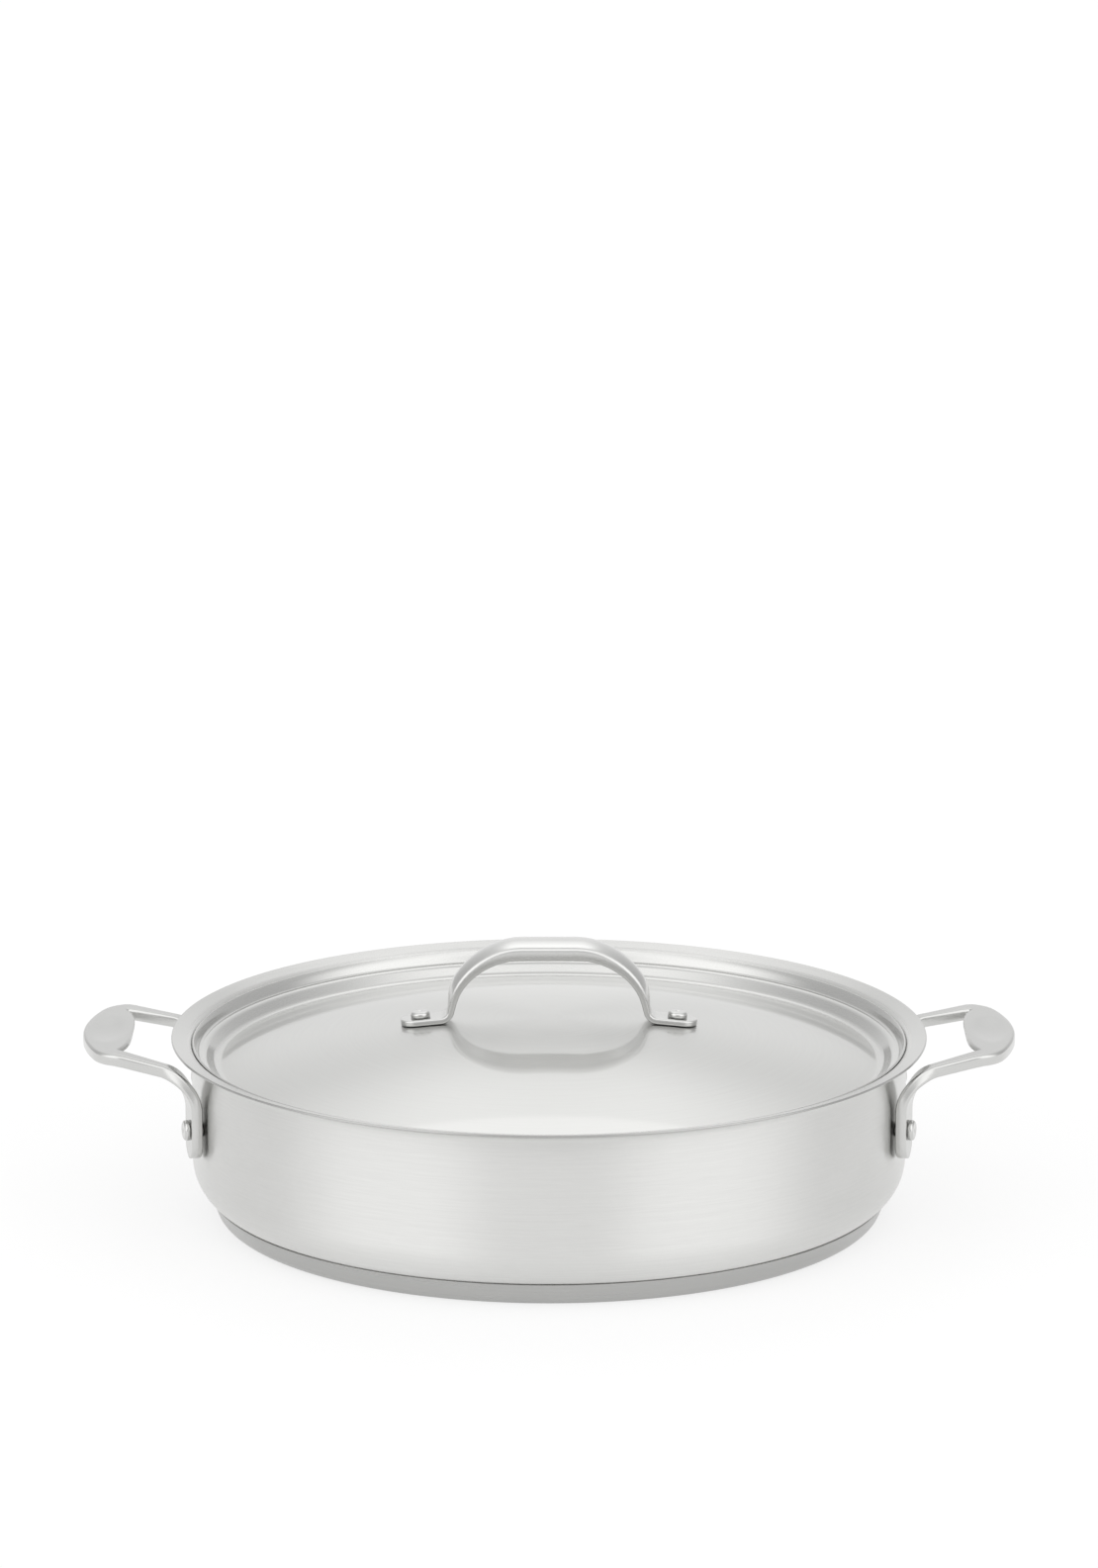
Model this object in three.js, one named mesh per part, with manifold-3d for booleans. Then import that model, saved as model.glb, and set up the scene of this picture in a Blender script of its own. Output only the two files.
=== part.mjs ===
// Covered sauteuse pan: a straight-walled steel pan with a flared rim, an encapsulated base,
// two cast loop handles and an inset lid with an arched strap handle.
// Millimetres, +Z up, origin on the table under the middle of the pan. The handles lie along X.
import * as THREE from 'three';
import { mergeVertices } from 'three/addons/utils/BufferGeometryUtils.js';
import Module from 'manifold-3d';

const wasm = await Module();
wasm.setup();
const degrees = THREE.MathUtils.degToRad;

// Pan body
const BOWL_RADIUS = 150.6; // axis to the inside of the wall
const PAN_HEIGHT = 77.8; // table to the rim edge
const PAN_SHEET = 1; // wall and floor
const CORNER_RADIUS = 17.8; // floor to wall, outside
const RIM_REACH = 9.4; // inside of the wall to the rim edge
const RIM_BEND = 5; // bell mouth, cooking side
const RIM_SLOPE = degrees(13.5); // rise of the pouring flange

// Encapsulated base
const BASE_HEIGHT = 7.3; // table to the underside of the pan floor
const CAP_INSET = 7.6; // outside of the wall to the upper edge of the cap
const CAP_LEAN = degrees(21.5); // how far its side leans out
const CAP_EDGE = 6; // rounding of its lower edge, outside
const CAP_SHEET = 0.7;

// Lid
const LID_SHEET = 1;
const LIP_TURN = degrees(40); // how far the lip follows the bell mouth
const LIP_ROOT = degrees(10); // where the lip leaves the riser above the ledge
const LEDGE_DROP = 0.7; // middle of the bell mouth's bend down to the ledge
const LEDGE_INSET = 2; // inside of the wall to the outer end of the ledge
const LEDGE_WIDTH = 2.7;
const STEP_WIDTH = 4.7; // ledge to the foot of the step, across
const STEP_DEPTH = 5.6; // ledge to the foot of the step, down
const DOME_RISE = 19.1; // foot of the step to the crown
const STEP_FILLET = 2.5;
const SHOULDER_FILLET = 3.4;
const LEDGE_FILLET = 1;

// Lid handle
const ARCH_HEIGHT = 32.2; // crown of the dome to the edges of the strap's top
const ARCH_BEND = 31; // shoulders of the arch, outside
const ARCH_LEAN = degrees(13); // lean of its legs
const STRAP_WIDTH = 21; // at the top of the arch
const STRAP_THICKNESS = 5.2; // at its edges there
const STRAP_CROWN = 2; // how far its outer face bulges there
const LEG_CROWN = 3.4; // and at the foot of its legs
const FOOT_WIDTH = 12.6;
const FOOT_THICKNESS = 2.5;
const FOOT_HEEL = 42.6; // axis to the bend where the leg turns into the foot
const FOOT_TOE = 63; // axis to the rounded end of the foot
const FOOT_BEND = 2.2; // leg to foot, upper face
const FOOT_BLEND = 0.1; // share of the leg's height where its bulge begins
const STRAP_EDGE = 1.2; // rounding of its long edges
const LID_RIVET_PLACE = 54.5; // axis to the rivet

// Side handles
const FINGER_GAP = 16.5; // rim edge to the paddle
const PADDLE_DEPTH = 21.1; // across its middle
const PADDLE_TURN = 29.4; // middle of the paddle to the turn of each leg
const PADDLE_INNER_BOW = 1.8; // how far its inner edge bows towards the pan
const PADDLE_OUTER_BOW = 4.8; // how far its outer edge bows away
const PADDLE_RISE = 1.2; // rim edge to the paddle's top face
const HANDLE_THICKNESS = 5; // paddle and legs
const HANDLE_EDGE = 1.7; // rounding of the long edges
const TURN_RADIUS = 1.2; // inside of the turn between paddle and leg
const LEG_ROOT = 8.2; // width of a leg at the paddle
const LEG_WIDTH = 6.8; // and where it bends down
const LEG_SLOPE = degrees(14);
const LEG_BEND = 17; // leg to tab, middle of the bar
const LEG_EASE = 20; // paddle to leg, middle of the bar
const TAB_AZIMUTH = degrees(16); // away from the X axis
const TAB_WIDTH = 14;
const TAB_THICKNESS = 4.7;
const TAB_BOTTOM = 34.6; // above the table
const DISH_LENGTH = 44; // hollow for the thumb
const DISH_WIDTH = 15.5;
const DISH_DEPTH = 1.1;

// Rivets
const SIDE_RIVET_HEIGHT = 46.8; // above the table
const SIDE_RIVET = { head: 4.3, crown: 2.1, shank: 2.9, tail: 5.4, tailHeight: 1.2 };
const LID_RIVET = { head: 4.1, crown: 1.6, shank: 2.2, tail: 4.4, tailHeight: 1 };
const DIMPLE_RADIUS = 1.1;
const DIMPLE_DEPTH = 0.5;

// Clearances
const SEAT_GAP = 0.3; // pieces that rest on each other
const TAB_GAP = 0.9; // flat tab to round wall
const HOLE_GAP = 0.3; // shank to hole, on the radius
const CURVE_GAP = 0.5; // flat tails and feet on curved sheet

// Fineness of the facets
const ROUND = 54; // round the axis
const BEND_STEPS = 4;
const LEG_STEPS = 6; // bends of a side handle's leg
const ARCH_STEPS = 8; // bends of the lid handle
const DOME_STEPS = 6;
const EDGE_STEPS = 2;
const RIVET_ROUND = 10;
const DISH_ROUND = 20;
const QUARTERS = [0, 0.25, 0.5, 0.75]; // places along the paddle and round its turn
const END_ANGLES = [20, 40, 60, 80].map(degrees); // places round the end of a tab or foot
const CROWN_PLACES = [-0.5, 0, 0.5]; // places across a bulging face, in half widths

// Limits of the method
const FULLEST_EDGE = 0.45; // most that an edge is rounded, as a share of the bar
const DISH_BALL = 4; // half the height of the ball that cuts the hollow, in depths of the hollow
const DRILL_LENGTH = 4; // length of a rivet hole's tool, in grips
const WELD = 1e-4; // points nearer than this are one

// Sizes that follow from the ones above
const wallRadius = BOWL_RADIUS + PAN_SHEET;
const rimRadius = BOWL_RADIUS + RIM_REACH;
const floorTop = BASE_HEIGHT + PAN_SHEET;
const flareCorner = PAN_HEIGHT - RIM_REACH * Math.tan(RIM_SLOPE);
const flareTurn = Math.PI / 2 - RIM_SLOPE;
const flareCentre = point(BOWL_RADIUS + RIM_BEND, flareCorner - RIM_BEND * Math.tan(flareTurn / 2));
const capRadius = wallRadius - CAP_INSET;
const capTop = cornerHeight(capRadius - CAP_SHEET) - SEAT_GAP;
const ledgeHeight = flareCentre.y - LEDGE_DROP;
const ledgeOuter = BOWL_RADIUS - LEDGE_INSET;
const stepFoot = point(ledgeOuter - LEDGE_WIDTH - STEP_WIDTH, ledgeHeight - STEP_DEPTH);
const domeRadius = (stepFoot.x ** 2 + DOME_RISE ** 2) / (2 * DOME_RISE);
const domeCrown = stepFoot.y + DOME_RISE;
const footMiddle = (FOOT_HEEL + FOOT_TOE) / 2;
const footTilt = Math.asin(footMiddle / domeRadius);
const archTop = domeCrown + ARCH_HEIGHT;
const paddleInner = rimRadius + FINGER_GAP;
const paddleMiddle = PAN_HEIGHT + PADDLE_RISE - HANDLE_THICKNESS / 2;
const tabRadius = wallRadius + TAB_GAP + TAB_THICKNESS / 2;

function point(x, y) {
  return new THREE.Vector2(x, y);
}

// Height of the dome's upper face
function domeHeight(radius) {
  return domeCrown - domeRadius + Math.sqrt(domeRadius ** 2 - radius ** 2);
}

// Height of the outside of the pan's bottom corner
function cornerHeight(radius) {
  const across = radius - (wallRadius - CORNER_RADIUS);
  return BASE_HEIGHT + CORNER_RADIUS - Math.sqrt(CORNER_RADIUS ** 2 - across ** 2);
}

function arc(centre, radius, from, to, steps) {
  const at = (i) => from + ((to - from) * i) / steps;
  const along = (angle) => point(centre.x + radius * Math.cos(angle), centre.y + radius * Math.sin(angle));
  return Array.from({ length: steps + 1 }, (_, i) => along(at(i)));
}

// A line through corners, each rounded by its own radius: [point, radius]
function roundedPath(corners, steps = BEND_STEPS) {
  return corners.flatMap(([corner, radius], i) => {
    if (!radius) {
      return [corner];
    }
    const before = corners[i - 1][0].clone().sub(corner).normalize();
    const after = corners[i + 1][0].clone().sub(corner).normalize();
    const half = Math.acos(before.dot(after)) / 2;
    const inward = before.clone().add(after).normalize();
    const centre = corner.clone().addScaledVector(inward, radius / Math.sin(half));
    const start = corner.clone().addScaledVector(before, radius / Math.tan(half)).sub(centre);
    const turn = Math.sign(before.cross(after)) * (2 * half - Math.PI);
    return arc(centre, radius, start.angle(), start.angle() + turn, steps);
  });
}

// The same line moved to its right
function movedRight(path, distance) {
  const normals = path.slice(1).map((p, i) => {
    const along = p.clone().sub(path[i]).normalize();
    return point(along.y, -along.x);
  });
  return path.map((p, i) => {
    const before = normals[Math.max(i - 1, 0)];
    const after = normals[Math.min(i, normals.length - 1)];
    const mitre = before.clone().add(after).divideScalar(1 + before.dot(after));
    return p.clone().addScaledVector(mitre, distance);
  });
}

// Turns a profile about the Z axis; it runs from the axis underneath to the axis on top
function revolve(profile, segments = ROUND) {
  return new THREE.LatheGeometry(profile, segments).rotateX(Math.PI / 2);
}

// A pressed round of sheet: path is its upper face, from the axis to its edge
function pressing(path, sheet) {
  const under = movedRight(path, sheet);
  under[0].x = 0;
  return revolve([...under, ...path.toReversed()]);
}

// Skins rings of points, which run counter-clockwise about the way they follow each other
function skin(rings) {
  const count = rings[0].length;
  const last = (rings.length - 1) * count;
  const index = [];
  for (let start = 0; start < last; start += count) {
    for (let j = 0; j < count; j += 1) {
      const next = (j + 1) % count;
      index.push(start + j, start + next, start + count + next);
      index.push(start + j, start + count + next, start + count + j);
    }
  }
  for (let j = 1; j < count - 1; j += 1) {
    index.push(0, j + 1, j);
    index.push(last, last + j, last + j + 1);
  }
  const geometry = new THREE.BufferGeometry().setFromPoints(rings.flat());
  return geometry.setIndex(index);
}

// Section of a bar with rounded edges: x across it, y through it, its bulging face at low y
function barSection(width, thickness, edge, crown) {
  const round = Math.min(edge, FULLEST_EDGE * width, FULLEST_EDGE * thickness);
  const side = width / 2 - round;
  const face = thickness / 2 - round;
  const bulging = (place) => point(place * side, -thickness / 2 - crown * (1 - place ** 2));
  const corner = (x, y, quarter) =>
    arc(point(x, y), round, (quarter * Math.PI) / 2, ((quarter + 1) * Math.PI) / 2, EDGE_STEPS);
  return [
    ...corner(side, face, 0),
    ...corner(-side, face, 1),
    ...corner(-side, -face, 2),
    ...(crown === undefined ? [] : CROWN_PLACES.map(bulging)),
    ...corner(side, -face, 3),
  ];
}

// Rings of a bar that follows stations, each with its middle, its direction across and its section
function barRings(stations) {
  return stations.map(({ middle, across, section }, i) => {
    const before = stations[Math.max(i - 1, 0)].middle;
    const after = stations[Math.min(i + 1, stations.length - 1)].middle;
    const travel = after.clone().sub(before).normalize();
    const through = travel.cross(across).normalize();
    return section.map((p) => middle.clone().addScaledVector(across, p.x).addScaledVector(through, p.y));
  });
}

// Completes half a bar with its mirror image across the plane where the named coordinate is zero
function bothHalves(half, coordinate) {
  const mirrored = (p) => p.clone().setComponent('xyz'.indexOf(coordinate), -p[coordinate]);
  const other = half.slice(1).toReversed().map((ring) => ring.map(mirrored));
  return [...other, ...half];
}

function toSolid(geometry) {
  const bare = geometry.clone();
  bare.deleteAttribute('normal');
  bare.deleteAttribute('uv');
  const welded = mergeVertices(bare, WELD);
  const triangles = [];
  for (let i = 0; i < welded.index.count; i += 3) {
    const [a, b, c] = welded.index.array.slice(i, i + 3);
    if (a !== b && b !== c && c !== a) {
      triangles.push(a, b, c);
    }
  }
  const mesh = new wasm.Mesh({
    numProp: 3,
    vertProperties: new Float32Array(welded.getAttribute('position').array),
    triVerts: new Uint32Array(triangles),
  });
  return new wasm.Manifold(mesh);
}

function toGeometry(solid) {
  const mesh = solid.getMesh();
  const geometry = new THREE.BufferGeometry();
  geometry.setAttribute('position', new THREE.BufferAttribute(mesh.vertProperties, 3));
  geometry.setIndex(new THREE.BufferAttribute(mesh.triVerts, 1));
  geometry.computeVertexNormals();
  return geometry;
}

function cut(geometry, tools) {
  return toGeometry(tools.reduce((solid, tool) => solid.subtract(toSolid(tool)), toSolid(geometry)));
}

// Where the rivets sit: a frame whose +Z points out of the head, from its seat
function sideRivetFrame(azimuth) {
  const seat = new THREE.Object3D();
  const radius = wallRadius + TAB_GAP + TAB_THICKNESS + SEAT_GAP;
  seat.position.set(radius * Math.cos(azimuth), radius * Math.sin(azimuth), SIDE_RIVET_HEIGHT);
  seat.rotation.set(0, Math.PI / 2, azimuth, 'ZYX');
  seat.updateMatrix();
  return seat;
}

function lidRivetFrame(side) {
  const seat = new THREE.Object3D();
  seat.position.set(side * LID_RIVET_PLACE, 0, footTop(LID_RIVET_PLACE) + SEAT_GAP);
  seat.rotation.y = side * footTilt;
  seat.updateMatrix();
  return seat;
}

// Upper face of the lid handle's foot, which lies flat on the dome at its middle
function footTop(x) {
  const rise = (CURVE_GAP / 2 + FOOT_THICKNESS) / Math.cos(footTilt);
  return domeHeight(footMiddle) + rise - (x - footMiddle) * Math.tan(footTilt);
}

function rivet({ head, crown, shank, tail, tailHeight }, grip) {
  const bottom = -grip - tailHeight;
  const rounding = arc(point(head - crown / 2, crown / 2), crown / 2, 0, Math.PI / 2, EDGE_STEPS);
  return revolve(
    [
      point(0, bottom),
      point(tail, bottom),
      point(tail, -grip),
      point(shank, -grip),
      point(shank, 0),
      point(head, 0),
      ...rounding,
      point(DIMPLE_RADIUS, crown),
      point(0, crown - DIMPLE_DEPTH),
    ],
    RIVET_ROUND,
  );
}

function rivetHole({ shank }, grip, seat) {
  const radius = shank + HOLE_GAP;
  const drill = new THREE.CylinderGeometry(radius, radius, DRILL_LENGTH * grip, RIVET_ROUND);
  return drill.rotateX(Math.PI / 2).applyMatrix4(seat.matrix);
}

const tabAzimuths = [TAB_AZIMUTH, -TAB_AZIMUTH];
const sideAzimuths = tabAzimuths.flatMap((azimuth) => [azimuth, azimuth + Math.PI]);
const sideGrip = SEAT_GAP + TAB_THICKNESS + TAB_GAP + PAN_SHEET + CURVE_GAP;
const lidGrip = SEAT_GAP + FOOT_THICKNESS + CURVE_GAP / 2 + LID_SHEET + CURVE_GAP;
const sideHole = (azimuth) => rivetHole(SIDE_RIVET, sideGrip, sideRivetFrame(azimuth));
const lidHole = (side) => rivetHole(LID_RIVET, lidGrip, lidRivetFrame(side));

function panBody() {
  const inside = roundedPath([
    [point(0, floorTop)],
    [point(BOWL_RADIUS, floorTop), CORNER_RADIUS - PAN_SHEET],
    [point(BOWL_RADIUS, flareCorner), RIM_BEND],
    [point(rimRadius, PAN_HEIGHT)],
  ]);
  return cut(pressing(inside, PAN_SHEET), sideAzimuths.map(sideHole));
}

// Inside of the cap, from the axis to its edge, less a margin all round
function capInside(height, margin = 0) {
  const outside = roundedPath([
    [point(0, 0)],
    [point(capRadius - capTop * Math.tan(CAP_LEAN), 0), CAP_EDGE],
    [point(capRadius, capTop)],
  ]);
  const inside = movedRight(outside, -CAP_SHEET - margin);
  const [below, above] = inside.slice(-2);
  above.lerpVectors(below, above, (height - below.y) / (above.y - below.y));
  return inside;
}

function baseCap() {
  return pressing(capInside(capTop), CAP_SHEET);
}

function baseCore() {
  const top = BASE_HEIGHT - SEAT_GAP;
  return revolve([...capInside(top, SEAT_GAP), point(0, top)]);
}

function lidShell() {
  const domeCentre = point(0, domeCrown - domeRadius);
  const domeEdge = Math.acos(stepFoot.x / domeRadius);
  const dome = arc(domeCentre, domeRadius, Math.PI / 2, domeEdge, DOME_STEPS).slice(0, -1);
  dome[0].x = 0;
  const lipRadius = RIM_BEND + SEAT_GAP + LID_SHEET;
  const lip = arc(flareCentre, lipRadius, Math.PI - LIP_ROOT, Math.PI - LIP_TURN, BEND_STEPS);
  const upper = roundedPath(
    [
      ...dome.map((p) => [p]),
      [stepFoot, STEP_FILLET],
      [point(ledgeOuter - LEDGE_WIDTH, ledgeHeight), SHOULDER_FILLET],
      [point(ledgeOuter, ledgeHeight), LEDGE_FILLET],
      ...lip.map((p) => [p]),
    ],
    EDGE_STEPS,
  );
  return cut(pressing(upper, LID_SHEET), [lidHole(1), lidHole(-1)]);
}

// The strap runs from the top of the arch down one leg and out along its foot; the other half mirrors it
function lidHandle() {
  const heel = point(FOOT_HEEL, footTop(FOOT_HEEL));
  const shoulder = point(heel.x - (archTop - heel.y) * Math.tan(ARCH_LEAN), archTop);
  const toeStart = FOOT_TOE - FOOT_WIDTH / 2;
  const upper = roundedPath(
    [[point(0, archTop)], [shoulder, ARCH_BEND], [heel, FOOT_BEND], [point(toeStart, footTop(toeStart))]],
    ARCH_STEPS,
  );
  const toe = END_ANGLES.map((angle) => {
    const x = toeStart + (FOOT_WIDTH / 2) * Math.sin(angle);
    return { top: point(x, footTop(x)), width: FOOT_WIDTH * Math.cos(angle) };
  });
  const rising = (z) => Math.max(0, (z - heel.y) / (archTop - heel.y));
  const bulge = (height) =>
    THREE.MathUtils.lerp(LEG_CROWN, STRAP_CROWN, height) * THREE.MathUtils.smoothstep(height, 0, FOOT_BLEND);
  const strap = upper.map((top) => ({
    top,
    width: FOOT_WIDTH + (STRAP_WIDTH - FOOT_WIDTH) * rising(top.y),
    thickness: FOOT_THICKNESS + (STRAP_THICKNESS - FOOT_THICKNESS) * rising(top.y) ** 2,
    crown: bulge(rising(top.y)),
  }));
  const all = [...strap, ...toe];
  const uppers = all.map(({ top }) => top);
  const stations = all.map(({ top, width, thickness = FOOT_THICKNESS, crown = 0 }, i) => {
    const middle = movedRight(uppers, thickness / 2)[i];
    if (i === 0) {
      middle.x = 0;
    }
    return {
      middle: new THREE.Vector3(middle.x, 0, middle.y),
      across: new THREE.Vector3(0, -1, 0),
      section: barSection(width, thickness, STRAP_EDGE, crown),
    };
  });
  return cut(skin(bothHalves(barRings(stations), 'x')), [lidHole(1), lidHole(-1)]);
}

// Half a side handle on +X: from the middle of the paddle round its turn, along a leg and down a tab
function sideHandleHalf() {
  const across = (angle) => new THREE.Vector3(Math.cos(angle), Math.sin(angle), 0);
  const turn = point(paddleInner + PADDLE_INNER_BOW, PADDLE_TURN);
  const tab = point(tabRadius * Math.cos(TAB_AZIMUTH), tabRadius * Math.sin(TAB_AZIMUTH));
  const toTab = tab.clone().sub(turn);
  const reach = TURN_RADIUS + LEG_ROOT / 2;
  const legAngle = toTab.angle() + Math.PI / 2 - Math.acos(reach / toTab.length());
  const legAcross = legAngle - Math.PI / 2;
  const tabAcross = TAB_AZIMUTH + Math.PI / 2;
  const legLength = Math.sqrt(toTab.lengthSq() - reach ** 2);
  const bar = (width, thickness) => barSection(width, thickness, HANDLE_EDGE);

  const paddle = QUARTERS.map((share) => {
    const inner = paddleInner + (PADDLE_INNER_BOW + TURN_RADIUS) * share ** 2;
    const outer = paddleInner + PADDLE_DEPTH - PADDLE_OUTER_BOW * share ** 2;
    return {
      middle: new THREE.Vector3((inner + outer) / 2, share * PADDLE_TURN, paddleMiddle),
      across: across(0),
      section: bar(outer - inner, HANDLE_THICKNESS),
    };
  });
  const endWidth = PADDLE_DEPTH - PADDLE_OUTER_BOW - PADDLE_INNER_BOW - TURN_RADIUS;
  const corner = QUARTERS.map((share) => {
    const width = THREE.MathUtils.lerp(endWidth, LEG_ROOT, share);
    const angle = legAcross * share;
    const middle = across(angle).multiplyScalar(TURN_RADIUS + width / 2);
    middle.add(new THREE.Vector3(turn.x, turn.y, paddleMiddle));
    return { middle, across: across(angle), section: bar(width, HANDLE_THICKNESS) };
  });

  // Side view of the leg and tab: distance from the tab's middle, and height
  const bendCorner = point(0, paddleMiddle - legLength * Math.tan(LEG_SLOPE));
  const tabEnd = TAB_BOTTOM + TAB_WIDTH / 2;
  const sideView = roundedPath(
    [
      [point(legLength + LEG_EASE, paddleMiddle)],
      [point(legLength, paddleMiddle), LEG_EASE],
      [bendCorner, LEG_BEND],
      [point(0, tabEnd)],
    ],
    LEG_STEPS,
  ).slice(1);
  const bendEnd = LEG_BEND * Math.cos(LEG_SLOPE);
  const leg = sideView.filter((p) => p.x < legLength).map((p) => {
    const away = THREE.MathUtils.smoothstep(p.x, 0, bendEnd);
    const angle = THREE.MathUtils.lerp(tabAcross, legAcross, away);
    const towardsPaddle = Math.max(0, p.x - bendEnd) / (legLength - bendEnd);
    const legWidth = THREE.MathUtils.lerp(LEG_WIDTH, LEG_ROOT, towardsPaddle);
    const width = THREE.MathUtils.lerp(TAB_WIDTH, legWidth, away);
    const thickness = THREE.MathUtils.lerp(TAB_THICKNESS, HANDLE_THICKNESS, away);
    const middle = new THREE.Vector3(tab.x, tab.y, p.y).addScaledVector(across(legAngle), -p.x);
    return { middle, across: across(angle), section: bar(width, thickness) };
  });
  const tabRound = END_ANGLES.map((angle) => ({
    middle: new THREE.Vector3(tab.x, tab.y, tabEnd - (TAB_WIDTH / 2) * Math.sin(angle)),
    across: across(tabAcross),
    section: bar(TAB_WIDTH * Math.cos(angle), TAB_THICKNESS),
  }));
  return [...paddle, ...corner, ...leg, ...tabRound];
}

function sideHandle() {
  const rings = barRings(sideHandleHalf());
  rings[0].forEach((p) => p.setY(0));
  const top = paddleMiddle + HANDLE_THICKNESS / 2;
  const clear = DISH_BALL - 1; // height of the ball's middle above the paddle, in depths of the hollow
  const mouth = Math.sqrt(1 - (clear / DISH_BALL) ** 2); // width of the hollow as a share of the ball
  const dish = new THREE.SphereGeometry(1, DISH_ROUND, DISH_ROUND / 2).rotateX(Math.PI / 2);
  dish.scale(DISH_WIDTH / 2 / mouth, DISH_LENGTH / 2 / mouth, DISH_BALL * DISH_DEPTH);
  dish.translate(paddleInner + PADDLE_DEPTH / 2, 0, top + clear * DISH_DEPTH);
  return cut(skin(bothHalves(rings, 'y')), [dish, ...tabAzimuths.map(sideHole)]);
}

const brushedSteel = new THREE.MeshStandardMaterial({ color: 0xcdcecd, roughness: 0.34, metalness: 1 });
const spunSteel = new THREE.MeshStandardMaterial({ color: 0xd2d3d3, roughness: 0.24, metalness: 1 });
const baseSteel = new THREE.MeshStandardMaterial({ color: 0xc2c3c3, roughness: 0.3, metalness: 1 });
const castSteel = new THREE.MeshStandardMaterial({ color: 0xcacbc9, roughness: 0.28, metalness: 1 });
const rivetSteel = new THREE.MeshStandardMaterial({ color: 0xd6d6d6, roughness: 0.2, metalness: 1 });
const coreAluminium = new THREE.MeshStandardMaterial({ color: 0xb9babb, roughness: 0.5, metalness: 1 });

function piece(name, geometry, material) {
  const mesh = new THREE.Mesh(geometry, material);
  mesh.name = name;
  return mesh;
}

function placedAt(mesh, frame) {
  mesh.position.copy(frame.position);
  mesh.rotation.copy(frame.rotation);
  return mesh;
}

const pan = new THREE.Group();
pan.add(piece('pan_body', panBody(), brushedSteel));
pan.add(piece('base_cap', baseCap(), baseSteel));
pan.add(piece('base_core', baseCore(), coreAluminium));
const handleGeometry = sideHandle();
[['right', 0], ['left', Math.PI]].forEach(([side, turn]) => {
  const handle = piece(`side_handle_${side}`, handleGeometry, castSteel);
  handle.rotation.z = turn;
  pan.add(handle);
  tabAzimuths.forEach((azimuth) => {
    const frame = sideRivetFrame(azimuth + turn);
    const end = frame.position.y < 0 ? 'front' : 'rear';
    const mesh = piece(`side_rivet_${side}_${end}`, rivet(SIDE_RIVET, sideGrip), rivetSteel);
    pan.add(placedAt(mesh, frame));
  });
});

const lid = new THREE.Group();
lid.add(piece('lid_shell', lidShell(), spunSteel));
lid.add(piece('lid_handle', lidHandle(), castSteel));
[['right', 1], ['left', -1]].forEach(([name, side]) => {
  const mesh = piece(`lid_rivet_${name}`, rivet(LID_RIVET, lidGrip), rivetSteel);
  lid.add(placedAt(mesh, lidRivetFrame(side)));
});

const sauteuse = new THREE.Group();
sauteuse.add(pan, lid);
export default sauteuse;
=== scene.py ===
"""Covered sauteuse pan: smooth meshes, finishes and studio for the packed part."""

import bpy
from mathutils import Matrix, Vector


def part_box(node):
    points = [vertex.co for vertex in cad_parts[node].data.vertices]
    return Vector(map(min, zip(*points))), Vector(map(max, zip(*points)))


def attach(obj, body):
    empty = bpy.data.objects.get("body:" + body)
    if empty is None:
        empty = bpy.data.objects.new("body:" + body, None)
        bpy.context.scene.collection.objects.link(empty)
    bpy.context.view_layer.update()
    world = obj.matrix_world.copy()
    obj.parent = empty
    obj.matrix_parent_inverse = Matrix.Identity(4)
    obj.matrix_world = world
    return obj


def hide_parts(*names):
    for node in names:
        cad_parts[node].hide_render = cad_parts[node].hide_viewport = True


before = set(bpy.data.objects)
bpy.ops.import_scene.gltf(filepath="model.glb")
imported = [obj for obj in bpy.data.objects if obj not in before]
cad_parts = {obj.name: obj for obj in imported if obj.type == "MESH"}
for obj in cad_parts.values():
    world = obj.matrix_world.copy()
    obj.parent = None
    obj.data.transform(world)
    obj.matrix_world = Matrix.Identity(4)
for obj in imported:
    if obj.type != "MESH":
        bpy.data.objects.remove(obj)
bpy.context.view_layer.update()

import math
from functools import partial

import bmesh
import bpy
from bpy.props import FloatProperty, FloatVectorProperty, PointerProperty
from bpy.types import Operator, Panel, PropertyGroup
from mathutils import Matrix, Vector

bl_info = {
    "name": "Covered Sauteuse",
    "version": (1, 0, 0),
    "blender": (4, 5, 0),
    "location": "View3D > Sidebar > Sauteuse",
    "description": "Builds a covered sauteuse pan around its packed solids",
    "category": "Add Mesh",
}

ROUND_STEPS = 192  # facets round the pan's axis
RIVET_STEPS = 48
DOME_STEPS = 36  # facets from the crown of the lid to its step
BEND_STEP = math.radians(6)  # turn of one facet in a bend
BEND_LENGTH = 0.004  # metres, longest facet in a bend
EDGE_STEPS = 5  # facets in a bar's rounded edge
FACE_POINTS = 9  # points across a bar's wide faces
PADDLE_STEPS = 20
TURN_STEPS = 12
END_STEPS = 9
CORNER_POWER = 3  # how full the outer corner of a paddle is
DISH_FADE = 1.3  # how softly the thumb's hollow runs out
EDGE_LIMIT = 0.45  # largest edge rounding, as a share of a bar's width or thickness
LIP_EASE = 0.98  # keeps the bend of the lid's lip within its two sides
TAIL_ROUND = 1 / 3  # rounding of a rivet's tail, as a share of its height
HEAD_ROUND = 0.55  # rounding of a rivet's head, as a share of its height
DIMPLE_ROUND = 0.2  # rounding of a dimple's rim, as a share of its radius
WELD = 1e-6  # metres, points closer than this are one

# Bands of the finishes, in metres
FLANGE_BAND = (0.0082, 0.006)  # inwards from the rim edge: the pouring flange, smoother, and darkened with painted shade
CUT_BAND = (0.00025, 0.00015)  # inwards from the rim edge: the cut edge, darkened with painted shade
STEP_BAND = (-0.0017, 0.0008)  # outwards from the foot of the lid's step: softer polish

TONE_SPREAD = 0.1  # how far a metal's tone strays from its colour
PAINTED_SHADE_TINT = 0.6  # colour under painted shade, as a share of the metal's own
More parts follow.
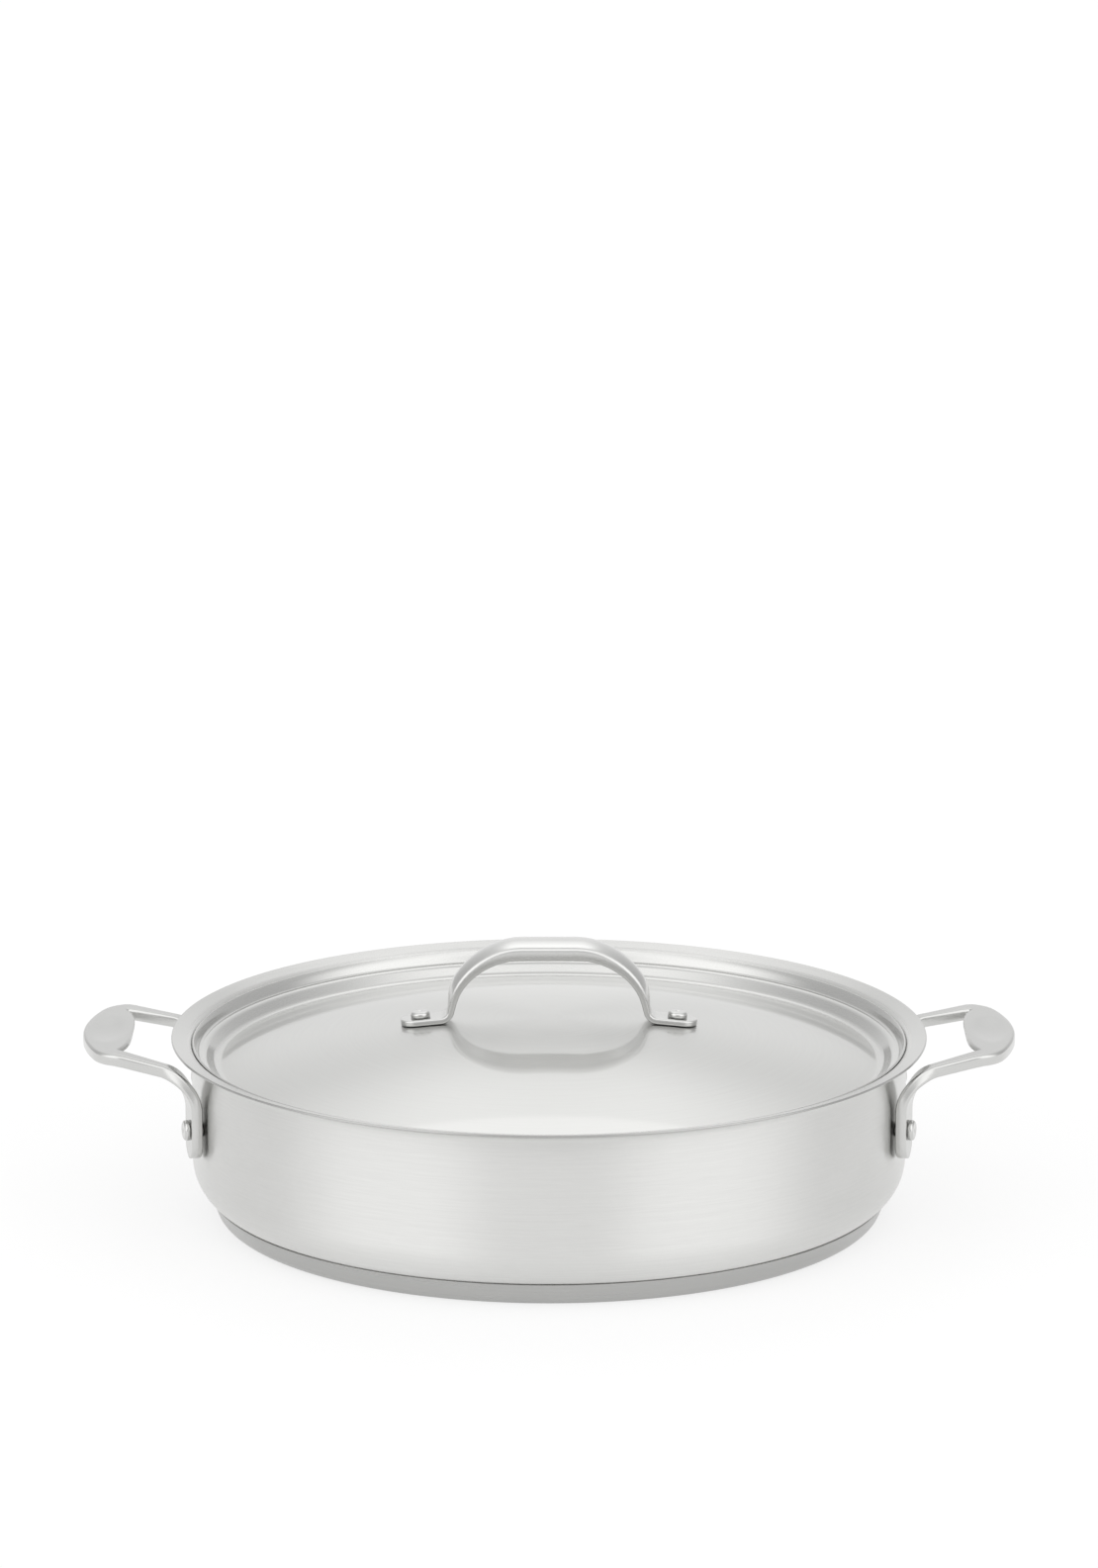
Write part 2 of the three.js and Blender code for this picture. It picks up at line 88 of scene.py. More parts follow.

# Brighter and darker parts of the room: direction from the pan, and width in degrees
HIGH_FRONT = ((0, -0.4, 0.9), 50)
HIGH_REAR = ((0, 0.68, 0.73), 24)
CAMERA_SIDES = (((-0.8, -0.55, 0.2), 42), ((0.8, -0.55, 0.2), 42))
REAR_CORNERS = (((-0.85, 0.45, 0.14), 56), ((0.85, 0.45, 0.14), 56))
BEHIND_CAMERA = ((0, -1, 0.05), 34)
OVERHEAD = ((0, 0.05, 1), 30)

# Share of pure white in the floor, by the kind of ray that meets it
FLOOR_WHITE = {"Is Camera Ray": 0.75, "Is Glossy Ray": 0.6, "Is Transmission Ray": 0.25}
FLOOR_RADIUS = 30.0  # metres
SENSOR_WIDTH = 36.0  # millimetres
SOFTBOX_SIZE = 0.8  # metres
SOFTBOX_PLACE = (0, 0.75, 1.3)
SOFTBOX_AIM = (0, 0, 0.08)


def length(name, description, default):
    """A size in metres."""
    return FloatProperty(
        name=name, description=description, default=default, min=0, unit="LENGTH", precision=5
    )


def angle(name, description, degrees):
    """An angle, given in degrees and kept in radians."""
    return FloatProperty(
        name=name, description=description, default=math.radians(degrees), unit="ROTATION"
    )


def share(name, description, default):
    """A part of a whole, from 0 to 1."""
    return FloatProperty(
        name=name, description=description, default=default, min=0, max=1, subtype="FACTOR"
    )


def colour(name, description, default):
    """A linear colour."""
    return FloatVectorProperty(
        name=name, description=description, default=default, size=3, min=0, max=1, subtype="COLOR"
    )


def settings_of(group, name):
    """The settings of one group."""
    return PointerProperty(type=group, name=name, description=group.__doc__)


class PanSizes(PropertyGroup):
    """Sizes of the pan and its base."""

    bowl_radius: length("Bowl", "Axis to the inside of the wall", 0.1506)
    height: length("Height", "Table to the rim edge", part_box("pan_body")[1].z)
    sheet: length("Sheet", "Thickness of the wall and floor", 0.001)
    corner: length("Corner", "Rounding from floor to wall, outside", 0.0178)
    rim_reach: length("Rim reach", "Inside of the wall to the rim edge", 0.0094)
    rim_bend: length("Rim bend", "Bell mouth of the rim, cooking side", 0.005)
    rim_slope: angle("Rim slope", "Rise of the pouring flange", 13.5)
    base_height: length("Base height", "Table to the underside of the floor", 0.0073)
    cap_inset: length("Cap inset", "Wall to the upper edge of the base cap", 0.0076)
    cap_lean: angle("Cap lean", "How far the side of the cap leans out", 21.5)
    cap_edge: length("Cap edge", "Rounding of the cap's lower edge", 0.006)
    cap_sheet: length("Cap sheet", "Thickness of the cap", 0.0007)
    rim_round: length("Rim rounding", "Rounding of the cut edges of the sheet", 0.0003)


class LidSizes(PropertyGroup):
    """Sizes of the pressed lid."""

    sheet: length("Sheet", "Thickness of the lid", 0.001)
    lip_turn: angle("Lip turn", "How far the lip follows the bell mouth", 40)
    lip_root: angle("Lip root", "Where the lip leaves the riser", 10)
    ledge_drop: length("Ledge drop", "Middle of the rim's bend down to the ledge", 0.0007)
    ledge_inset: length("Ledge inset", "Wall to the outer end of the ledge", 0.002)
    ledge_width: length("Ledge width", "Width of the ledge", 0.0027)
    step_width: length("Step width", "Ledge to the foot of the step, across", 0.0047)
    step_depth: length("Step depth", "Ledge to the foot of the step, down", 0.0056)
    dome_rise: length("Dome rise", "Foot of the step to the crown", 0.0191)
    step_fillet: length("Step fillet", "Rounding at the foot of the step", 0.004)
    shoulder: length("Shoulder", "Rounding from step to ledge", 0.0034)
    ledge_fillet: length("Ledge fillet", "Rounding from ledge to riser", 0.001)


class StrapSizes(PropertyGroup):
    """Sizes of the lid's arched handle."""

    height: length("Height", "Crown of the lid to the edges of the strap's top", 0.0322)
    bend: length("Bend", "Shoulders of the arch, outside", 0.031)
    lean: angle("Lean", "Lean of the legs", 13)
    width: length("Width", "At the top of the arch", 0.021)
    thickness: length("Thickness", "At the edges of the top", 0.0052)
    crown: length("Crown", "Bulge of the outer face at the top", 0.002)
    leg_crown: length("Leg crown", "Bulge at the foot of the legs", 0.0027)
    blend: share("Blend", "Share of the leg's height over which it swells", 0.5)
    edge: length("Edge", "Rounding of the long edges", 0.0012)
    foot_width: length("Foot width", "Across a foot", 0.0126)
    foot_thickness: length("Foot thickness", "Through a foot", 0.00263)
    heel: length("Heel", "Axis to the bend of a foot", 0.0434)
    toe: length("Toe", "Axis to the end of a foot", 0.063)
    foot_bend: length("Foot bend", "Leg to foot, upper face", 0.0034)
    rivet_place: length("Rivet", "Axis to the rivet", 0.0545)


class LoopSizes(PropertyGroup):
    """Sizes of the cast side handles."""

    finger_gap: length("Finger gap", "Rim edge to the paddle", 0.0165)
    depth: length("Paddle depth", "Across the middle of the paddle", 0.0211)
    turn: length("Turn", "Middle of the paddle to the turn of a leg", 0.0322)
    inner_bow: length("Inner bow", "How far the inner edge bows to the pan", 0.003)
    outer_bow: length("Outer bow", "How far the outer edge bows away", 0.0058)
    rise: length("Rise", "Rim edge to the paddle's top", 0.0013)
    thickness: length("Thickness", "Paddle and legs", 0.0052)
    edge: length("Edge", "Rounding of the long edges", 0.0014)
    thinned: FloatProperty(
        name="Thinned", description="How far the inner edge of the paddle is thinned", default=1.5
    )
    turn_radius: length("Turn radius", "Inside of the turn", 0.0012)
    leg_root: length("Leg root", "Width of a leg at the paddle", 0.0094)
    leg_width: length("Leg width", "Width of a leg where it bends down", 0.0055)
    leg_slope: angle("Leg slope", "Fall of a leg", 13.4)
    leg_bend: length("Leg bend", "Leg to tab", 0.017)
    leg_ease: length("Leg ease", "Paddle to leg", 0.02)
    tab_azimuth: angle("Tab azimuth", "Tab away from the handle's middle", 16)
    tab_width: length("Tab width", "Across a tab", 0.014)
    tab_thickness: length("Tab thickness", "Through a tab", 0.0047)
    tab_bottom: length("Tab bottom", "Table to the end of a tab", 0.0346)
    dish_length: length("Dish length", "Hollow for the thumb", 0.044)
    dish_width: length("Dish width", "Across the hollow", 0.0155)
    dish_depth: length("Dish depth", "Depth of the hollow", 0.0011)
    rivet_height: length("Rivet height", "Table to the rivets", 0.0468)


class SideRivetSizes(PropertyGroup):
    """Sizes of the rivets that hold the side handles."""

    head: length("Head", "Radius of the head", 0.0043)
    crown: length("Crown", "Height of the head", 0.0021)
    shank: length("Shank", "Radius of the shank", 0.0029)
    tail: length("Tail", "Radius of the set tail", 0.0054)
    tail_height: length("Tail height", "Height of the set tail", 0.0012)
    dimple: length("Dimple", "Radius of the dimple", 0.0011)
    dimple_depth: length("Dimple depth", "Depth of the dimple", 0.0005)


class LidRivetSizes(PropertyGroup):
    """Sizes of the rivets that hold the lid's handle."""

    head: length("Head", "Radius of the head", 0.0041)
    crown: length("Crown", "Height of the head", 0.0023)
    shank: length("Shank", "Radius of the shank", 0.0022)
    tail: length("Tail", "Radius of the set tail", 0.0044)
    tail_height: length("Tail height", "Height of the set tail", 0.001)
    dimple: length("Dimple", "Radius of the dimple", 0.0011)
    dimple_depth: length("Dimple depth", "Depth of the dimple", 0.0005)


class GapSizes(PropertyGroup):
    """Clearances between pieces."""

    seat: length("Seat", "Pieces that rest on each other", 0.0003)
    tab: length("Tab", "Flat tab to round wall", 0.0009)
    curve: length("Curve", "Flat tails on curved sheet", 0.0005)
    foot: length("Foot", "Dome to the underside of a lid handle foot", 0.00012)


class FinishColours(PropertyGroup):
    """Colours of the metals."""

    wall: colour("Wall", "Brushed steel of the pan", (0.76, 0.76, 0.746))
    # Set darker than the other steels: painted shade for the shadowed floor that the base reflects.
    cap: colour("Base", "Turned steel of the base", (0.475, 0.475, 0.466))
    lid: colour("Lid", "Spun steel of the lid", (0.62, 0.62, 0.608))
    casting: colour("Castings", "Satin steel of the side handles", (0.62, 0.62, 0.609))
    strap: colour("Strap", "Satin steel of the lid's handle", (0.63, 0.63, 0.62))
    rivet: colour("Rivets", "Polished steel of the rivets", (0.62, 0.62, 0.61))
    core: colour("Core", "Aluminium inside the base", (0.6, 0.6, 0.605))


class StudioSettings(PropertyGroup):
    """Camera and light."""

    elevation: angle("Elevation", "Height of the camera above the horizon", 15.7)
    distance: length("Distance", "Camera to the middle of the pan", 3.0)
    aim_height: length("Aim height", "Table to the point that the camera is set by", 0.045)
    pitch: angle("Pitch", "How far the camera looks down", 13.08)
    lens: FloatProperty(
        name="Lens", description="Focal length", default=161.7, subtype="DISTANCE_CAMERA"
    )
    floor: colour("Floor", "Floor and surroundings", (0.95, 0.95, 0.95))
    room: FloatProperty(name="Room", description="Light from all round", default=1.0, min=0)
    top_glow: share("Top glow", "How much brighter it is high up in front", 0.5)
    rear_glow: share("Rear glow", "How much brighter it is high up behind the pan", 0.4)
    side_glow: share("Side glow", "How much brighter it is beside the camera", 0.6)
    corner_shade: share("Corner shade", "How much darker the rear corners are", 0.38)
    front_shade: share("Front shade", "How much darker it is behind the camera", 0.3)
    top_shade: share("Top shade", "How much darker it is straight overhead", 0.55)
    top_lamp: FloatProperty(name="Top lamp", description="Power", default=0.5, unit="POWER")


class SauteuseSettings(PropertyGroup):
    """All that a user may change."""

    pan: settings_of(PanSizes, "Pan")
    lid: settings_of(LidSizes, "Lid")
    strap: settings_of(StrapSizes, "Lid handle")
    loop: settings_of(LoopSizes, "Side handles")
    side_rivet: settings_of(SideRivetSizes, "Side rivets")
    lid_rivet: settings_of(LidRivetSizes, "Lid rivets")
    gap: settings_of(GapSizes, "Gaps")
    finish: settings_of(FinishColours, "Finishes")
    studio: settings_of(StudioSettings, "Studio")


def soft_step(value):
    """0 to 1, with a soft start and end."""
    value = min(1.0, max(0.0, value))
    return value * value * (3 - 2 * value)


class Layout:
    """Places that several pieces share, worked out from the sizes."""

    def __init__(self, settings):
        pan, lid, strap = settings.pan, settings.lid, settings.strap
        loop, gap = settings.loop, settings.gap
        self.wall = pan.bowl_radius + pan.sheet
        self.rim = pan.bowl_radius + pan.rim_reach
        self.floor = pan.base_height + pan.sheet
        self.flare = pan.height - pan.rim_reach * math.tan(pan.rim_slope)
        flare_turn = math.pi / 2 - pan.rim_slope
        self.flare_centre = Vector((
            pan.bowl_radius + pan.rim_bend,
            self.flare - pan.rim_bend * math.tan(flare_turn / 2),
        ))
        self.cap_radius = self.wall - pan.cap_inset
        across = self.cap_radius - pan.cap_sheet - (self.wall - pan.corner)
        corner_drop = pan.corner - math.sqrt(pan.corner**2 - across**2)
        self.cap_top = pan.base_height + corner_drop - gap.seat
        self.ledge = self.flare_centre.y - lid.ledge_drop
        self.ledge_outer = pan.bowl_radius - lid.ledge_inset
        self.ledge_inner = self.ledge_outer - lid.ledge_width
        self.step_foot = Vector((self.ledge_inner - lid.step_width, self.ledge - lid.step_depth))
        self.dome = (self.step_foot.x**2 + lid.dome_rise**2) / (2 * lid.dome_rise)
        self.crown = self.step_foot.y + lid.dome_rise
        self.foot_middle = (strap.heel + strap.toe) / 2
        self.foot_tilt = math.asin(self.foot_middle / self.dome)
        self.foot_rise = (gap.foot + strap.foot_thickness) / math.cos(self.foot_tilt)
        self.arch_top = self.crown + strap.height
        self.paddle_inner = self.rim + loop.finger_gap
        self.paddle_height = pan.height + loop.rise - loop.thickness / 2
        self.tab_radius = self.wall + gap.tab + loop.tab_thickness / 2

    def dome_height(self, radius):
        """Height of the lid's upper face."""
        return self.crown - self.dome + math.sqrt(self.dome**2 - radius**2)

    def foot_top(self, x):
        """Height of a lid handle foot's upper face, which lies flat on the dome at its middle."""
        slope = math.tan(self.foot_tilt)
        return self.dome_height(self.foot_middle) + self.foot_rise - (x - self.foot_middle) * slope


def rounded_wire(corners):
    """A bmesh with a line in the XZ plane through corners (x, z, radius), each rounded."""
    bm = bmesh.new()
    verts = [bm.verts.new((x, 0, z)) for x, z, _ in corners]
    for pair in zip(verts, verts[1:]):
        bm.edges.new(pair)
    places = [vert.co.copy() for vert in verts]
    for i, (_, _, radius) in enumerate(corners):
        if not radius:
            continue
        opening = (places[i - 1] - places[i]).angle(places[i + 1] - places[i])
        turn = math.pi - opening
        bmesh.ops.bevel(
            bm,
            geom=[verts[i]],
            offset=radius * math.tan(turn / 2),
            offset_type="OFFSET",
            affect="VERTICES",
            segments=max(2, math.ceil(turn / BEND_STEP), math.ceil(turn * radius / BEND_LENGTH)),
            profile=0.5,
            material=-1,
        )
    return bm


def rounded_line(corners):
    """The points of a rounded line, in order from its first corner."""
    bm = rounded_wire(corners)
    start = Vector((corners[0][0], 0, corners[0][1]))
    vert = min((v for v in bm.verts if len(v.link_edges) == 1), key=lambda v: (v.co - start).length)
    points, edge = [vert.co.copy()], None
    while True:
        ahead = [e for e in vert.link_edges if e is not edge]
        if not ahead:
            break
        edge = ahead[0]
        vert = edge.other_vert(vert)
        points.append(vert.co.copy())
    bm.free()
    return points


def spun(corners, steps):
    """A bmesh of a rounded line turned about the Z axis."""
    bm = rounded_wire(corners)
    bmesh.ops.spin(
        bm,
        geom=bm.verts[:] + bm.edges[:],
        cent=(0, 0, 0),
        axis=(0, 0, 1),
        angle=2 * math.pi,
        steps=steps,
        use_merge=True,
    )
    bmesh.ops.remove_doubles(bm, verts=bm.verts, dist=WELD)
    bmesh.ops.recalc_face_normals(bm, faces=bm.faces)
    return bm


def turn_to(bm, z):
    """Turns an open shell so that the face at its middle looks up (z = 1) or down (z = -1)."""
    middle = min(bm.faces, key=lambda f: f.calc_center_median().xy.length)
    if middle.normal.z * z < 0:
        bmesh.ops.reverse_faces(bm, faces=bm.faces)


def bar_section(width, thickness, edge, crown=0):
    """Points of a bar's section, anticlockwise: x across it, y through it, its bulge at low y."""
    edge = min(edge, EDGE_LIMIT * width, EDGE_LIMIT * thickness)
    across, through = width / 2 - edge, thickness / 2 - edge
    points = []
    for quarter, (x, y) in enumerate(((1, 1), (-1, 1), (-1, -1), (1, -1))):
        for i in range(EDGE_STEPS + 1):
            turn = (quarter + i / EDGE_STEPS) * math.pi / 2
            points.append(Vector((
                x * across + edge * math.cos(turn),
                y * through + edge * math.sin(turn),
            )))
        if quarter in (0, 2):
            places = [1 - 2 * (i + 1) / (FACE_POINTS + 1) for i in range(FACE_POINTS)]
            sign = 1 if quarter == 0 else -1
            points += [Vector((sign * p * across, sign * thickness / 2)) for p in places]
    for point in points:
        depth = 0.5 - point.y / thickness
        point.y -= crown * (1 - (2 * point.x / width) ** 2) * depth
    return points


def loft(stations):
    """A bmesh of a bar through stations (middle, across, section), closed at both ends."""
    bm = bmesh.new()
    rings = []
    for i, (middle, across, section) in enumerate(stations):
        before = stations[max(i - 1, 0)][0]
        after = stations[min(i + 1, len(stations) - 1)][0]
        through = (after - before).cross(across).normalized()
        ring = bmesh.ops.create_circle(bm, segments=len(section), radius=1)["verts"]
        for vert, point in zip(ring, section):
            vert.co = middle + across * point.x + through * point.y
        rings.append({edge for vert in ring for edge in vert.link_edges})
    for ring, following in zip(rings, rings[1:]):
        bmesh.ops.bridge_loops(bm, edges=list(ring | following))
    bmesh.ops.edgeloop_fill(bm, edges=list(rings[0]))
    bmesh.ops.edgeloop_fill(bm, edges=list(rings[-1]))
    return bm


def close_mirror(bm, axis):
    """Adds the mirror image across the plane through the origin and joins both halves there."""
    at_plane = [f for f in bm.faces if all(abs(v.co[axis]) < WELD for v in f.verts)]
    bmesh.ops.delete(bm, geom=at_plane, context="FACES_ONLY")
    bmesh.ops.mirror(
        bm, geom=bm.verts[:] + bm.edges[:] + bm.faces[:], axis="XYZ"[axis], merge_dist=WELD
    )
    bmesh.ops.remove_doubles(bm, verts=bm.verts, dist=WELD)
    bmesh.ops.recalc_face_normals(bm, faces=bm.faces)


def piece(bm, name, body, nodes, material):
    """Makes a bmesh an object that rides on a body and stands for CAD nodes."""
    mesh = bpy.data.meshes.new(name)
    bm.to_mesh(mesh)
    bm.free()
    mesh.shade_smooth()
    mesh.materials.append(material)
    obj = bpy.data.objects.new(name, mesh)
    bpy.context.scene.collection.objects.link(obj)
    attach(obj, body)
    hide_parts(*nodes)
    return obj


def sheet_metal(obj, thickness, rounding):
    """Gives a shell the thickness of its sheet, behind its faces, and rounds the cut edges."""
    wall = obj.modifiers.new("Sheet", "SOLIDIFY")
    wall.thickness = thickness
    wall.offset = -1
    wall.use_even_offset = True
    edges = obj.modifiers.new("Cut edges", "BEVEL")
    edges.width = rounding
    edges.segments = 3
    edges.limit_method = "ANGLE"
    edges.angle_limit = math.radians(60)
    edges.harden_normals = True


class Value:
    """A socket of a node tree; arithmetic on it adds Math nodes."""

    def __init__(self, graph, socket):
        self.graph = graph
        self.socket = socket

    def _math(self, operation, first, second):
        return self.graph.node("ShaderNodeMath", {"operation": operation}, {0: first, 1: second})

    def __add__(self, other):
        return self._math("ADD", self, other)

    def __radd__(self, other):
        return self._math("ADD", other, self)

    def __sub__(self, other):
        return self._math("SUBTRACT", self, other)

    def __rsub__(self, other):
        return self._math("SUBTRACT", other, self)

    def __mul__(self, other):
        return self._math("MULTIPLY", self, other)

    def __rmul__(self, other):
        return self._math("MULTIPLY", other, self)


class Graph:
    """The node tree of a material or world, emptied."""

    def __init__(self, owner):
        owner.use_nodes = True
        self.tree = owner.node_tree
        self.tree.nodes.clear()

    def node(self, kind, settings=None, sockets=None, output=0):
        """Adds a node, sets it up, fills or links its sockets and gives one of its outputs."""
        node = self.tree.nodes.new(kind)
        for name, value in (settings or {}).items():
            setattr(node, name, value)
        for key, value in (sockets or {}).items():
            if isinstance(value, Value):
                self.tree.links.new(value.socket, node.inputs[key])
            else:
                node.inputs[key].default_value = value
        return Value(self, node.outputs[output]) if node.outputs else node

    def place(self):
        """Object coordinates, as a vector and as x, y and z."""
        vector = self.node("ShaderNodeTexCoord", output="Object")
        parts = [
            self.node("ShaderNodeSeparateXYZ", sockets={0: vector}, output=i) for i in range(3)
        ]
        return vector, *parts

    def noise(self, vector, scale, detail=3.0, roughness=0.6):
        """Fractal noise from 0 to 1."""
        return self.node(
            "ShaderNodeTexNoise",
            {"noise_dimensions": "3D", "normalize": True},
            {"Vector": vector, "Scale": scale, "Detail": detail, "Roughness": roughness},
            output="Fac",
        )

    def joined(self, x, y, z):
        """A vector of three values."""
        return self.node("ShaderNodeCombineXYZ", sockets={0: x, 1: y, 2: z})

    def blend(self, mask, low, high):
        """A colour between two others."""
        low, high = (c if isinstance(c, Value) else (*c, 1) for c in (low, high))
        return self.node(
            "ShaderNodeMix", {"data_type": "RGBA"}, {"Factor": mask, 6: low, 7: high}, output=2
        )

    def ramp(self, value, start, end):
        """0 up to start, 1 from end on, with a smooth rise between them."""
        return self.node(
            "ShaderNodeMapRange",
            {"interpolation_type": "SMOOTHSTEP"},
            {"Value": value, "From Min": start, "From Max": end},
        )


def shaded(tint, amount):
    """A colour made lighter or darker."""
    return tuple(min(1.0, c * amount) for c in tint)


def steel(name, tint, make):
    """A metal whose colour, roughness and relief come from make(graph)."""
    material = bpy.data.materials.new(name)
    graph = Graph(material)
    facts = make(graph)
    skin = graph.blend(
        facts["tone"], shaded(tint, 1 - TONE_SPREAD), shaded(tint, 1 + TONE_SPREAD)
    )
    # Painted shade: blends the colour towards a darker copy of the metal where the mask asks.
    if "painted_shade" in facts:
        skin = graph.blend(facts["painted_shade"], skin, shaded(tint, PAINTED_SHADE_TINT))
    relief = graph.node(
        "ShaderNodeBump",
        sockets={"Strength": facts["relief"], "Distance": 0.0001, "Height": facts["height"]},
    )

    def metal(roughness, anisotropy):
        return graph.node(
            "ShaderNodeBsdfPrincipled",
            sockets={
                "Base Color": skin,
                "Metallic": 1.0,
                "Roughness": roughness,
                "Anisotropic": anisotropy,
                "Anisotropic Rotation": 0.25,
                "Normal": relief,
            },
        )

    surface = metal(facts["roughness"], facts["anisotropy"])
    if "gloss" in facts:
        polish = metal(facts["gloss"], 0.0)
        surface = graph.node(
            "ShaderNodeMixShader", sockets={0: facts["haze"], 1: polish, 2: surface}
        )
    graph.node("ShaderNodeOutputMaterial", sockets={"Surface": surface})
    return material


def round_brushing(graph, fineness, break_up, across):
    """Scratches that run round the Z axis, as streaks and a fine grain, with smudges over them."""
    vector, x, y, z = graph.place()
    radius = graph.node(
        "ShaderNodeVectorMath",
        {"operation": "LENGTH"},
        {0: graph.joined(x, y, 0.0)},
        output="Value",
    )
    along = (radius + z) if across == "wall" else radius
    streaks = graph.noise(graph.joined(x * break_up, y * break_up, along * fineness), 1.0)
    grain = graph.noise(
        graph.joined(x * break_up * 4, y * break_up * 4, along * fineness * 5), 1.0, 1.0
    )
    smudges = graph.noise(vector, 18.0, 2.0)
    return radius, streaks, grain, smudges


def wall_brushing(graph):
    """Horizontal brushing of the pan, with painted shade darkening its flange and, most, the cut
    edge of its rim.
    """
    radius, streaks, grain, smudges = round_brushing(graph, 900.0, 25.0, "wall")
    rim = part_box("pan_body")[1].x
    flange = graph.ramp(radius, *(rim - inset for inset in FLANGE_BAND))
    cut_edge = graph.ramp(radius, *(rim - inset for inset in CUT_BAND))
    return {
        "tone": 0.5 + (streaks - 0.5) * 0.6 + (grain - 0.5) * 0.4,
        "roughness": 0.35 + (streaks - 0.5) * 0.12 + (smudges - 0.5) * 0.06 - flange * 0.12,
        "height": (streaks * 0.4 + grain * 0.6) * (1 - flange * 0.8),
        "relief": 0.12,
        "anisotropy": 1.0,
        # Painted shade: darkens the flange, and the cut edge at the rim most.
        "painted_shade": flange * 0.55 + cut_edge * 0.45,
    }


def base_turning(graph):
    """Turned rings of the base."""
    _, streaks, grain, smudges = round_brushing(graph, 700.0, 12.0, "wall")
    return {
        "tone": 0.5 + (streaks - 0.5) * 0.6 + (grain - 0.5) * 0.4,
        "roughness": 0.3 + (streaks - 0.5) * 0.14 + (smudges - 0.5) * 0.06,
        "height": streaks * 0.5 + grain * 0.5,
        "relief": 0.15,
        "anisotropy": 0.6,
    }


def lid_spinning(step_foot, graph):
    """Fine spun rings of the lid, less hazy outside the foot of its step."""
    radius, streaks, grain, smudges = round_brushing(graph, 1400.0, 30.0, "lid")
    edge = graph.ramp(radius, *(step_foot + offset for offset in STEP_BAND))
    return {
        "tone": 0.5 + (streaks - 0.5) * 0.15 + (grain - 0.5) * 0.2,
        "roughness": 0.38 + (streaks - 0.5) * 0.05 + (smudges - 0.5) * 0.03,
        "height": streaks * 0.4 + grain * 0.6,
        "relief": 0.004,
        "anisotropy": 0.8,
        "gloss": 0.06 + (smudges - 0.5) * 0.03 + edge * 0.07,
        "haze": 0.55 + (streaks - 0.5) * 0.05 - edge * 0.3,
    }


def strap_satin(graph):
    """Satin skin of the lid's handle."""
    vector, _, _, _ = graph.place()
    grain = graph.noise(vector, 2600.0, 2.0)
    clouds = graph.noise(vector, 60.0, 3.0)
    return {
        "tone": 0.5 + (clouds - 0.5) * 0.4 + (grain - 0.5) * 0.3,
        "roughness": 0.23 + (clouds - 0.5) * 0.1 + (grain - 0.5) * 0.06,
        "height": grain,
        "relief": 0.08,
        "anisotropy": 0.0,
    }


def casting_grain(graph):
    """Satin skin of the side handles, with painted shade darkening the faces that look up."""
    facts = strap_satin(graph)
    normal = graph.node("ShaderNodeNewGeometry", output="Normal")
    upward = graph.node("ShaderNodeSeparateXYZ", sockets={0: normal}, output=2)
    # Painted shade: faces that look up are darkened, the sides keep the full colour.
    facts["painted_shade"] = graph.ramp(upward, 0.6, 0.97) * 0.45
    return facts


def rivet_polish(graph):
    """Polished rivet heads with light tumbling marks."""
    vector, _, _, _ = graph.place()
    marks = graph.noise(vector, 900.0, 3.0)
    return {
        "tone": 0.5 + (marks - 0.5) * 0.5,
        "roughness": 0.17 + (marks - 0.5) * 0.1,
        "height": marks,
        "relief": 0.06,
        "anisotropy": 0.0,
    }


def core_mill(graph):
    """Mill finish of the core."""
    vector, _, _, _ = graph.place()
    grain = graph.noise(vector, 500.0)
    return {
        "tone": grain,
        "roughness": 0.45 + grain * 0.1,
        "height": grain,
        "relief": 0.1,
        "anisotropy": 0.0,
    }


class SAUTEUSE_OT_pan_body(Operator):
    """Pressed pan with its flared rim"""

    bl_idname = "sauteuse.pan_body"
    bl_label = "Pan body"

    def execute(self, context):
        settings = context.scene.sauteuse
        pan, at = settings.pan, Layout(settings)
        bm = spun(
            [
                (0, at.floor, 0),
                (pan.bowl_radius, at.floor, pan.corner - pan.sheet),
                (pan.bowl_radius, at.flare, pan.rim_bend),
                (at.rim, pan.height, 0),
            ],
            ROUND_STEPS,
        )
        turn_to(bm, 1)
        material = steel("Brushed wall", settings.finish.wall, wall_brushing)
        obj = piece(bm, "brushed_pan", "pan", ["pan_body"], material)
        sheet_metal(obj, pan.sheet, pan.rim_round)
        return {"FINISHED"}


class SAUTEUSE_OT_base(Operator):
    """Cap of the base, and the finish of the core inside it"""

    bl_idname = "sauteuse.base"
    bl_label = "Base"

    def execute(self, context):
        settings = context.scene.sauteuse
        pan, at = settings.pan, Layout(settings)
        foot = at.cap_radius - at.cap_top * math.tan(pan.cap_lean)
        bm = spun(
            [(0, 0, 0), (foot, 0, pan.cap_edge), (at.cap_radius, at.cap_top, 0)], ROUND_STEPS
        )
        turn_to(bm, -1)
        material = steel("Turned base", settings.finish.cap, base_turning)
        obj = piece(bm, "turned_base", "pan", ["base_cap"], material)
        sheet_metal(obj, pan.cap_sheet, pan.rim_round / 2)
        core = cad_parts["base_core"]
        core.data.materials.clear()
        core.data.materials.append(steel("Core mill finish", settings.finish.core, core_mill))
        return {"FINISHED"}


